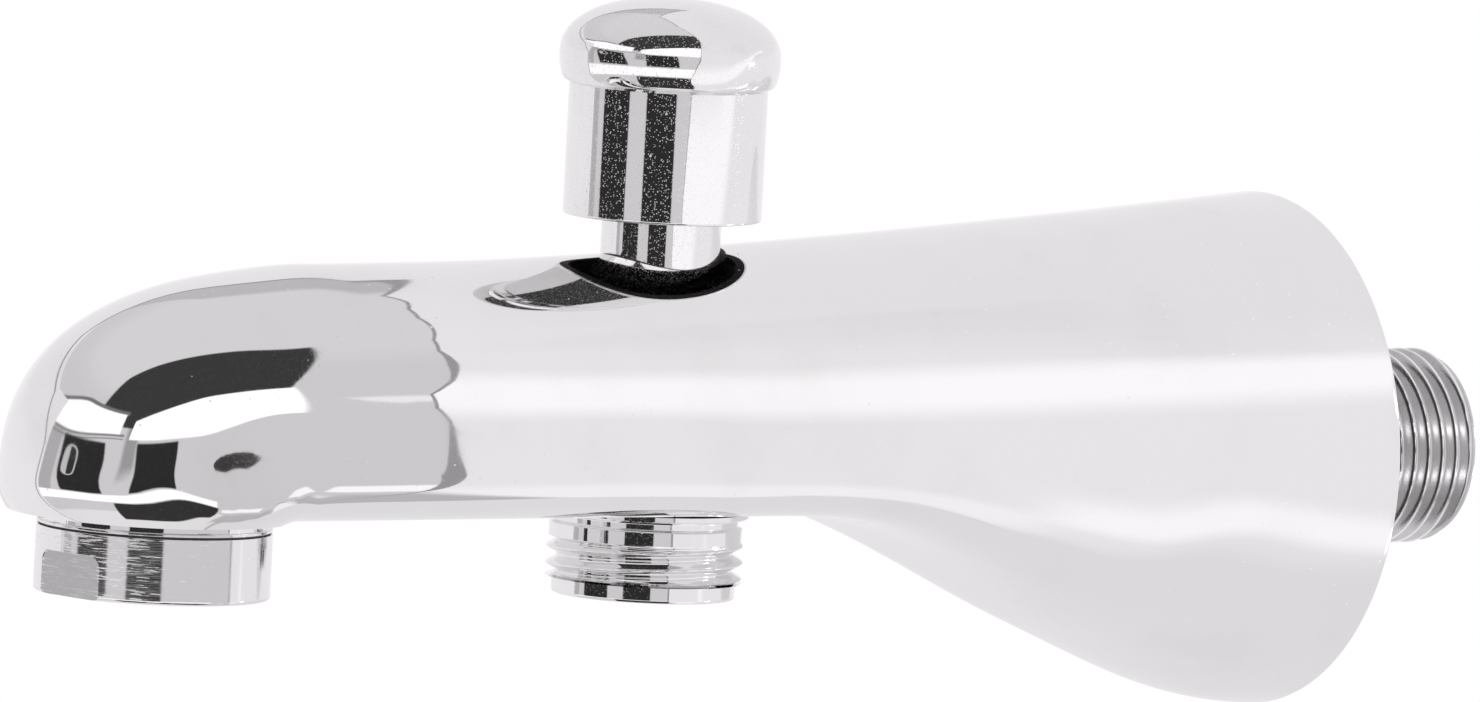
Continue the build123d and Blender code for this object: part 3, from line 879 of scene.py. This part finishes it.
def inlet_tube():
    """Threaded tube that screws into the boss, with a socket for a six-sided key in its free end."""
    start, end = inlet_low[0], inlet_high[0]
    bore, buried, plain = 6.5, nipple_screw - screw_gap, pipe_thread - 0.75
    key_radius, key_depth = 7.4, 9.0
    mouth = -boss_recess
    ring = [(bore, start), (buried - thread_end, start), (buried, start + thread_end), (buried, mouth)]
    ring += [(pipe_thread, x) for x in thread_levels(mouth, end - 0.4)]
    ring += [(plain, end - 0.1), (plain - 0.2, end), (bore + 0.3, end), (bore, end - 0.3)]
    cut = thread_cut((mouth + 0.6, 0.6, plain), (end - 1.4, 1.0, plain), pipe_thread, 0.4)
    tube = thing("inlet_tube", *turned(ring, 160, lying=True, cut=cut))
    key = lying_tool("key", key_radius, end - key_depth, end + over, 6)
    apply_cuts(tube, [(key, "DIFFERENCE")])
    soften(tube, 40)
    dress(tube, "spout", "inlet_nipple", "nickel_thread", nickel_thread)


# Aerator


def aerator_ring():
    """Housing of the aerator, with a thread above, a fine groove under its rim and two spanner flats."""
    top, low = shell_high[2], shell_low[2]
    thread, bore, lip, ledge = 11.0, 9.8, 8.9, 1.2
    groove_floor = aerator_radius - 0.35
    corners = [
        (bore, top, 0.1),
        (thread - 0.3, top, 0.1),
        (thread, top - 0.3, 0.1),
        (thread, aerator_face, 0.0),
        (aerator_radius, aerator_face, 0.28),
        (aerator_radius, groove_level + groove_half, 0.05),
        (groove_floor, groove_level + 0.08, 0.0),
        (groove_floor, groove_level - 0.08, 0.0),
        (aerator_radius, groove_level - groove_half, 0.05),
        (aerator_radius, low, 0.42),
        (lip + 0.2, low, 0.25),
        (lip, low + 0.4, 0.1),
        (lip, low + ledge, 0.0),
        (bore, low + ledge, 0.0),
    ]
    ring = thing("aerator_ring", *turned(rounded(corners, 9), 192, outlet_x))
    cuts = [(spanner_flat(turn), "DIFFERENCE") for turn in (flat_turn, flat_turn + math.pi)]
    apply_cuts(ring, cuts)
    soften(ring, 15)
    dress(ring, "spout", "aerator_shell", "chrome_aerator", chrome_aerator)


def spanner_flat(turn):
    """Cutting form of a flat with round upper corners."""
    reach, height, half, corner = 11.6, 4.7, 4.5, 1.4
    low = shell_low[2]
    arc = np.linspace(0, np.pi / 2, 7)
    right = [(half - corner + corner * np.cos(a), low + height - corner + corner * np.sin(a)) for a in arc]
    left = [(-across, level) for across, level in reversed(right)]
    ring = [(half, low - 1)] + right + left + [(-half, low - 1)]
    points = []
    for depth in (reach, reach + 4):
        for across, level in ring:
            x = outlet_x + depth * math.cos(turn) - across * math.sin(turn)
            points.append((x, depth * math.sin(turn) + across * math.cos(turn), level))
    count = len(ring)
    faces = tube_faces(2, count) + [list(range(count)), list(range(count, 2 * count))]
    return thing("spanner_flat", points, faces)


# Knob


def knob_cap(lip, base, widest, top):
    """Points of the cap from its lip over the widest level to the top."""
    radius, fullness = 11.75, 2 / 2.2
    points = []
    for t in np.linspace(0, np.pi / 2, 12):
        points.append((lip + (radius - lip) * math.sin(t), base + (widest - base) * (1 - math.cos(t))))
    for t in np.linspace(0, np.pi / 2, 40)[1:-1]:
        points.append((radius * math.cos(t) ** fullness, widest + (top - widest) * math.sin(t) ** fullness))
    return points


def pull_knob():
    """Mushroom knob with a hollow skirt and a stem that is bored for the spindle."""
    stem_low, top = knob_low[2], knob_high[2]
    skirt_low = top_line(diverter_x) + 3.6
    base = skirt_low + 14.2
    widest = base + 2.9
    hollow_top = skirt_low - wall
    stud_top = hollow_top + 11.0
    roof = top - 4.5
    stud, stem_hollow, stem, inner, skirt, lip = 2.56, 4.9, 6.35, 9.25, 10.55, 10.95
    pole = 0.02
    under = [
        (pole, stud_top, 0),
        (stud, stud_top, 0),
        (stud, hollow_top, 0),
        (stem_hollow, hollow_top, 0),
        (stem_hollow, stem_low, 0),
        (stem, stem_low, 0.3),
        (stem, roof, 0.6),
        (inner, roof, 0.6),
        (inner, skirt_low, 0.15),
        (skirt, skirt_low, 0.25),
        (skirt, base, 0.1),
        (lip, base, 0),
    ]
    ring = np.vstack([rounded(under), knob_cap(lip, base, widest, top)[1:], [(pole, top)]])
    knob = thing("pull_knob", *turned(ring, 192, diverter_x))
    soften(knob, 32)
    # The hollow and the bore take the near-black finish, which is painted shade inside the knob.
    for polygon in knob.data.polygons:
        centre = polygon.center / MM
        out = math.hypot(centre.x - diverter_x, centre.y)
        hollow = stem + 0.05 < out < skirt - 0.35 and centre.z < roof + 0.05
        bore = out < stem - 0.4 and centre.z < stud_top + 0.05
        polygon.material_index = 1 if hollow or bore else 0
    dress(knob, "diverter_handle", "diverter_knob", "chrome_knob", chrome_knob, knob_hollow_painted_shade)


# Return spring


def spring_coil(turns=6, per_turn=60, round_wire=16):
    """Coil of round wire that fills the return spring's solid."""
    low, high = box_of("return_spring")
    wire_radius = 0.35
    reach = (high[0] - low[0]) / 2 - wire_radius
    first, last = low[2] + wire_radius, high[2] - wire_radius
    angle = np.linspace(0, 2 * np.pi * turns, turns * per_turn + 1)[:, None]
    slope = math.atan2(last - first, 2 * np.pi * turns * reach)
    about = even_angles(round_wire)[None, :]
    out, along = reach + wire_radius * np.cos(about), wire_radius * np.sin(about)
    back, rise = along * math.sin(slope), along * math.cos(slope)
    x = diverter_x + out * np.cos(angle) + back * np.sin(angle)
    y = out * np.sin(angle) - back * np.cos(angle)
    level = first + (last - first) * angle / angle[-1] + rise
    coil = thing("spring_coil", *closed_tube(np.stack([x, y, level], axis=-1)))
    soften(coil, 40)
    dress(coil, "spout", "return_spring", "spring_steel", spring_steel)
    lift = next(joint for joint in frame["joints"] if joint["name"] == "diverter_lift")
    travel = max(lift["range_m"]) / MM
    length = high[2] - low[2]
    float((length - travel) / length)
    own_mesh(coil)


spout_casting()
hose_outlet()
inlet_tube()
aerator_ring()
pull_knob()
spring_coil()

# Camera at the photograph's angle; the seen point of the neck lies at one pixel of the image
image_width, image_height = 1480, 702
seen_point = Vector((-70.0, 0.0, 8.0))
seen_pixel_x, seen_pixel_y = 719.198, 377.767
camera_yaw = math.radians(-34.191)
camera_rise = math.radians(5.248)
camera_roll = math.radians(3.018)
pixels_per_mm = 9.4266
lens = 820.0
sensor = 36.0
aim_right = (image_width / 2 - seen_pixel_x) / pixels_per_mm
aim_up = (seen_pixel_y - image_height / 2) / pixels_per_mm

level_share = math.cos(camera_rise)
back_x, back_y = math.sin(camera_yaw) * level_share, -math.cos(camera_yaw) * level_share
back = Vector((back_x, back_y, math.sin(camera_rise)))
right = Vector((math.cos(camera_yaw), math.sin(camera_yaw), 0))
up = back.cross(right)
image_x = right * math.cos(camera_roll) + up * math.sin(camera_roll)
image_y = up * math.cos(camera_roll) - right * math.sin(camera_roll)
aim = (seen_point + image_x * aim_right + image_y * aim_up) * MM
distance = image_width / pixels_per_mm * MM * lens / sensor
camera_data = bpy.data.cameras.new("camera")
camera_data.lens = lens
camera_data.sensor_width = sensor
camera_data.clip_end = 20.0
camera = bpy.data.objects.new("camera", camera_data)
bpy.context.scene.collection.objects.link(camera)
turn = Matrix((image_x, image_y, back)).transposed().to_4x4()
camera.matrix_world = Matrix.Translation(aim + back * distance) @ turn
bpy.context.scene.camera = camera

# Studio: a white light tent with an open front, a pale floor and the room before the tent
floor_level = -110.0
floor_reach = 4000.0
tent_light = 0.96
tent_low = -1500
tent_top = 330
tent_tint = (1.0, 0.972, 1.0)
plain_room = 0.8
# Ribs of the tent: a point of the hem, the half width of its piping there, and a point of the back
tent_ribs = [
    ((-70, -62, tent_low), 0.2, (250, -140, tent_low)),
    ((-70, -62, -100), 0.2, (250, -140, -100)),
    ((-79, -62, -40), 0.2, (250, -140, -40)),
    ((-83, -62.4, -14), 1.3, (250, -140, -14)),
    ((-86, -61, 2), 0.2, (250, -140, 0)),
    ((-90, -57, 14), 0.2, (250, -140, 14)),
    ((-91, -54, 23), 0.2, (250, -140, 25)),
    ((-88, -50, 32), 0.3, (250, -140, 42)),
    ((-84, -47, 45), 0.6, (250, -140, 70)),
    ((-82, -41, 57), 0.2, (250, -140, 120)),
    ((-80, -34, 65), 0.2, (250, -120, 200)),
    ((-77, -24, 73), 0.2, (250, -80, 260)),
    ((-77, -12, 77), 0.2, (250, -40, 300)),
    ((-77, -2, 78), 0.2, (250, 0, tent_top)),
    ((-74, 8, 81), 0.2, (250, 60, tent_top)),
    ((-70, 21, 87), 0.2, (250, 150, tent_top)),
    ((73, 197, 230), 2, (250, 250, tent_top)),
    ((50, 258, 248), 4, (200, 400, tent_top)),
    ((-18, 336, 241), 4, (0, 520, tent_top)),
    ((-124, 380, 220), 4, (-200, 560, 300)),
    ((-356, 344, 196), 4, (-480, 520, 250)),
    ((-454, 294, 78), 4, (-600, 400, 100)),
    ((-452, 297, tent_low), 4, (-600, 400, tent_low)),
]
tent_plan = [(250, -140), (250, 250), (0, 520), (-480, 520), (-600, 400)]


def hidden_from_camera(target, finish):
    """A studio piece that only lights the object and shows in its chrome."""
    target.data.materials.append(finish)
    target.visible_camera = False
    target.visible_shadow = False


def cloth_between(name, first, second):
    """Cloth stretched between two lines of points."""
    count = len(first)
    faces = [[i, i + 1, count + i + 1, count + i] for i in range(count - 1)]
    hidden_from_camera(thing(name, first + second, faces), tent_cloth())


def light_tent():
    """Walls and roof of the tent, from the hem of its open front to the back."""
    cloth_between("tent_sides", [hem for hem, _, _ in tent_ribs], [back for _, _, back in tent_ribs])
    foot, head = [[(x, y, level) for x, y in tent_plan] for level in (tent_low, tent_top)]
    cloth_between("tent_rear", foot, head)
    line = bpy.data.curves.new("tent_hem", "CURVE")
    line.dimensions = "3D"
    line.bevel_depth = MM
    seam = line.splines.new("POLY")
    seam.points.add(len(tent_ribs) - 1)
    for point, (hem, width, _) in zip(seam.points, tent_ribs):
        point.co = (*(part * MM for part in hem), 1)
        point.radius = width
    piping = bpy.data.objects.new("tent_hem", line)
    bpy.context.scene.collection.objects.link(piping)
    hidden_from_camera(piping, new_finish("tent_piping").glow(0.36))


def dark_card():
    """Small dark oval before the nose, such as the front of a camera."""
    upper = [(-12.5, 0.2), (-10, 1.5), (-6.7, 1.6), (-2.4, 0.7), (3, -1.5), (6, -2.9), (7.5, -3.0)]
    right = [(8.3, -3.5), (8.4, -3.9), (8.0, -4.5), (7.0, -5.1)]
    lower = [(5.7, -5.3), (3, -5.0), (-2.5, -3.9), (-8.9, -2.8), (-12, -1.2)]
    points = [(-120.5 + 0.93 * along, -61.2 + 0.36 * along, level) for along, level in upper + right + lower]
    card = thing("dark_card", points, [list(range(len(points)))])
    hidden_from_camera(card, new_finish("dark_card").glow(0.05))


def tent_cloth():
    """Lit cloth, brighter where lamps stand behind its side wall and darker low down before the nose."""
    s = new_finish("tent_cloth")
    x, y, z = s.parts(s.place())
    beside = y.fall(-0.045, -0.035)
    by_base = x.rise(-0.026, -0.014)
    by_neck = 1 - by_base
    upper = z - (0.0245 + 0.4 * (x + 0.05).sum("MAXIMUM", 0.0))
    lower = z + 0.031 + 0.45 * (x + 0.01)
    lit = 0.2 * upper.within(-0.015, 0.011, 0.008) + 0.17 * lower.within(-0.011, 0.011, 0.008) * by_base
    lit = lit + 0.1 * z.fall(-0.04, -0.022) * by_neck
    under_nose = (z + 0.072 + 1.1 * (x + 0.05)).fall(-0.006, 0.006) * by_neck
    lamps = z.within(0.031, 0.043, 0.002) + z.within(-0.064, -0.05, 0.002)
    lit = lit - 0.5 * under_nose + 6.0 * lamps * x.within(0.04, 0.115, 0.002)
    over_neck = z.rise(0.05, 0.08) * x.fall(0.0, 0.03)
    dimmed = 0.05 * z.rise(0.05, 0.12) + 0.1 * z.fall(-0.09, -0.045) * by_base
    return s.glow(tent_light + (lit - 0.04 * over_neck) * beside - dimmed)


def pale_floor():
    """Pale floor with the object's shadow, white far out, that a view from below looks through."""
    floor = thing("floor", *disc(floor_reach, floor_level))
    if floor.data.polygons[0].normal.z < 0:
        floor.data.flip_normals()
    s = new_finish("pale_floor")
    x, y, z = s.parts(s.place())
    out = ((x + 0.07) * (x + 0.07) + y * y) ** 0.5
    ray = s.node("ShaderNodeLightPath")
    mirrored = ray["Is Glossy Ray"].sum("MAXIMUM", ray["Is Transmission Ray"])
    far = out.rise(0.18, 0.6) * ray["Is Camera Ray"].sum("MAXIMUM", mirrored)
    paint = s.node("ShaderNodeBsdfDiffuse", None, {"Color": grey(0.9)})["BSDF"]
    white = s.node("ShaderNodeEmission", None, {"Color": grey(1.0), "Strength": 1.0})["Emission"]
    seen_above = s.node("ShaderNodeMixShader", None, {0: far, 1: paint, 2: white})["Shader"]
    seen_below = s.node("ShaderNodeBsdfTransparent")["BSDF"]
    from_below = s.node("ShaderNodeNewGeometry")["Backfacing"] * ray["Is Camera Ray"]
    mixed = s.node("ShaderNodeMixShader", None, {0: from_below, 1: seen_above, 2: seen_below})
    s.node("ShaderNodeOutputMaterial", None, {"Surface": mixed["Shader"]})
    floor.data.materials.append(s.owner)
    floor.visible_glossy = False


def disc(radius, level, segments=96):
    angle = even_angles(segments)
    points = np.column_stack([radius * np.cos(angle), radius * np.sin(angle), np.full(segments, level)])
    return points, [list(range(segments))]


def room():
    """The room as the chrome sees it through the front of the tent, by direction in degrees."""
    world = bpy.data.worlds.new("room")
    bpy.context.scene.world = world
    s = Shading(world)
    x, y, z = s.parts(s.node("ShaderNodeTexCoord")["Generated"])
    turn = x.sum("ARCTAN2", -y) * (180 / math.pi)
    rise = z.sum("ARCSINE") * (180 / math.pi)
    light = 0.72 + 0.06 * rise.rise(36, 50)

    def put(level, *masks):
        """Lays one grey over what is there, inside all of the masks."""
        nonlocal light
        inside = masks[0]
        for mask in masks[1:]:
            inside = inside * mask
        light = light + (level - light) * inside

    soft = 0.8
    # Walls of the room and the ceiling before the tent
    put(0.9, rise.fall(-40, -36))
    put(0.57, turn.within(42, 75, 3), rise.within(-60, -35, 2))
    put(0.5, turn.within(-136, -121, 1), rise.within(-9, 18, 1))
    put(0.38, turn.within(-71, -61, 2), rise.within(3, 34, 3))
    put(0.58, (x - 0.42 * z).rise(-0.01, 0.01), rise.within(30, 48, 2), turn.within(100, 175, 6))
    back_edge = (y + 0.43 * x + 0.155 * z).fall(-0.012, 0.012)
    side_edge = (x + 0.37 * y - 0.436 * z).fall(-0.004, 0.004)
    put(0.05, turn.within(-101, 70, 1.2), rise.rise(26, 27), back_edge, side_edge)
    # Two soft boxes with dark frames
    left_top = 25 + 10 * turn.rise(-150, -112)
    left_low = 17.5 + 4 * turn.rise(-120, -76)
    put(0.2, turn.within(-149, -75, soft), (rise - left_top).within(-1, 1.5, 0.5))
    put(0.3, turn.within(-149, -73, soft), (rise - left_low).within(-0.9, 0.8, 0.3))
    put(0.3, turn.within(-149, -73, soft), (rise - left_low).within(-2.6, -1.9, 0.3))
    put(1.3, turn.within(-147, -77, soft), (rise - left_top).fall(-1, 0), (rise - left_low).rise(0, 1))
    middle = turn + 12
    bend = 0.0045 + 0.003 * middle.rise(-2, 2)
    right_top = 45 - middle * middle * bend
    beyond = (turn + 33).sum("MAXIMUM", 0.0)
    right_low = 19.5 - beyond * beyond * 0.0031
    right_end = (turn - 0.1 * (rise - 15)).within(-69, 32.8, 0.3)
    put(1.3, right_end, (rise - right_top).fall(-0.6, 0.6), (rise - right_low).rise(-0.6, 0.6))
    # Two dark doorways, a lamp in one of them, and the bright and dark edge of the table
    left_door = turn + 0.33 * (rise - 10)
    put(0.03, left_door.within(-118, -84, soft), rise.within(-7.5, 16, soft))
    lamp_x, lamp_y = (left_door + 109.4) / 6.0, (rise - 9.8) / 3.2
    lamp = (lamp_x * lamp_x + lamp_y * lamp_y) ** 0.5
    put(0.62, lamp.fall(0.9, 1.05))
    put(0.04, lamp.fall(0.75, 0.85), lamp_x.rise(-0.25, -0.05))
    right_door = turn + 0.1 * (rise - 5)
    put(0.03, right_door.within(-59.5, -25, soft), rise.within(-7.5, 17.5, soft))
    put(1.3, turn.within(-140, 28, 2), rise.within(-20, -9, 1))
    put(0.04, turn.within(-70, 30.5, 1), rise.within(-55, -21.5, 1.2))
    put(1.0, turn.within(34.45, 50, 0.15), rise.within(9.5, 17, 1.5))
    put(1.15, turn.within(35.4, 46, 0.8), rise.within(-31, -22.5, 1.2))
    ray = s.node("ShaderNodeLightPath")
    mirrored = ray["Is Glossy Ray"].sum("MAXIMUM", ray["Is Transmission Ray"])
    backdrop = plain_room + (light - plain_room) * mirrored
    shown = s.mix(ray["Is Camera Ray"], s.tinted(backdrop), grey(1.0))
    glow = s.node("ShaderNodeBackground", None, {"Color": shown, "Strength": 1.0})
    s.node("ShaderNodeOutputWorld", None, {"Surface": glow["Background"]})


light_tent()
dark_card()
pale_floor()
room()
bpy.context.scene.view_settings.view_transform = "Standard"
